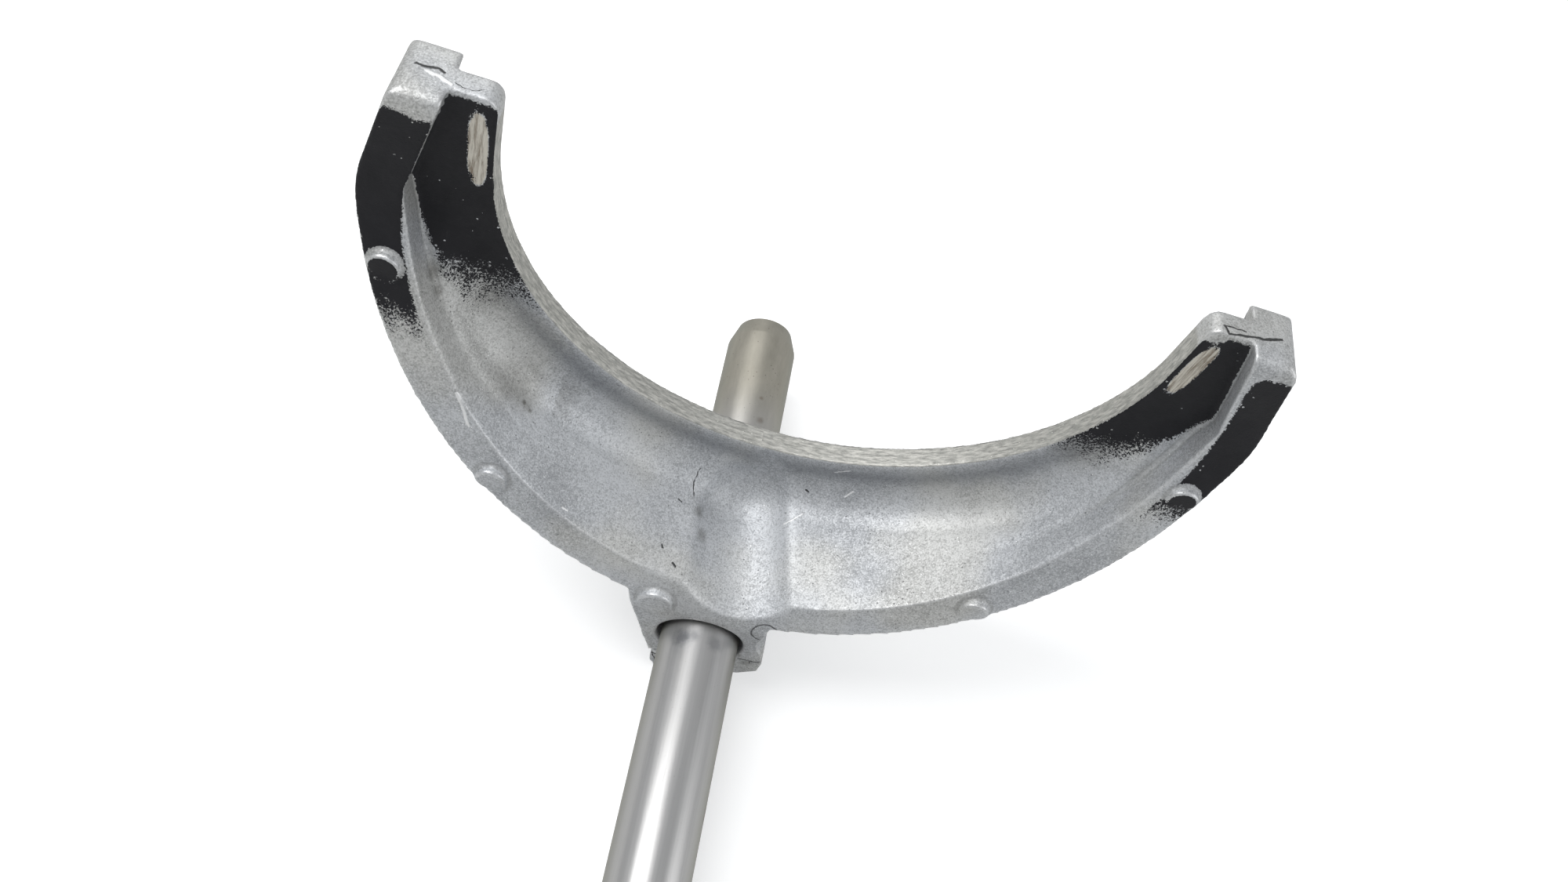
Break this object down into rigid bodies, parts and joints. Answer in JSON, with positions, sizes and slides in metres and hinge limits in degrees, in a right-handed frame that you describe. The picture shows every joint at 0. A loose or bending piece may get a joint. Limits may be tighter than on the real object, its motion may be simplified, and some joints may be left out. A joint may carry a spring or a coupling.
{
  "type": "gearbox shift fork on its rail",
  "caption": "C-shaped die-cast shift fork with a flanged channel and a long boss, sliding on a round ground rail on two pressed-in bushes.",
  "frame": {"origin": "centre of the fork's round seat, in the plane of the tongue's back face", "axes": "+Y back along the rail, +X right, +Z from the rail towards the fork's open mouth"},
  "size_m": [0.1714, 0.2523, 0.1328],
  "materials": {
    "cast_aluminium": "matte die-cast",
    "bush_bronze": "wrapped bearing metal",
    "ground_steel": "ground and polished"
  },
  "bodies": {
    "rail": {"shift_rail": "ground_steel"},
    "fork": {"fork_casting": "cast_aluminium", "front_bush": "bush_bronze", "rear_bush": "bush_bronze"}
  },
  "joints": [
    {"name": "fork_slide", "type": "slide", "parent": "rail", "child": "fork", "axis": [0, 1, 0], "range_m": [-0.01, 0.01]}
  ]
}
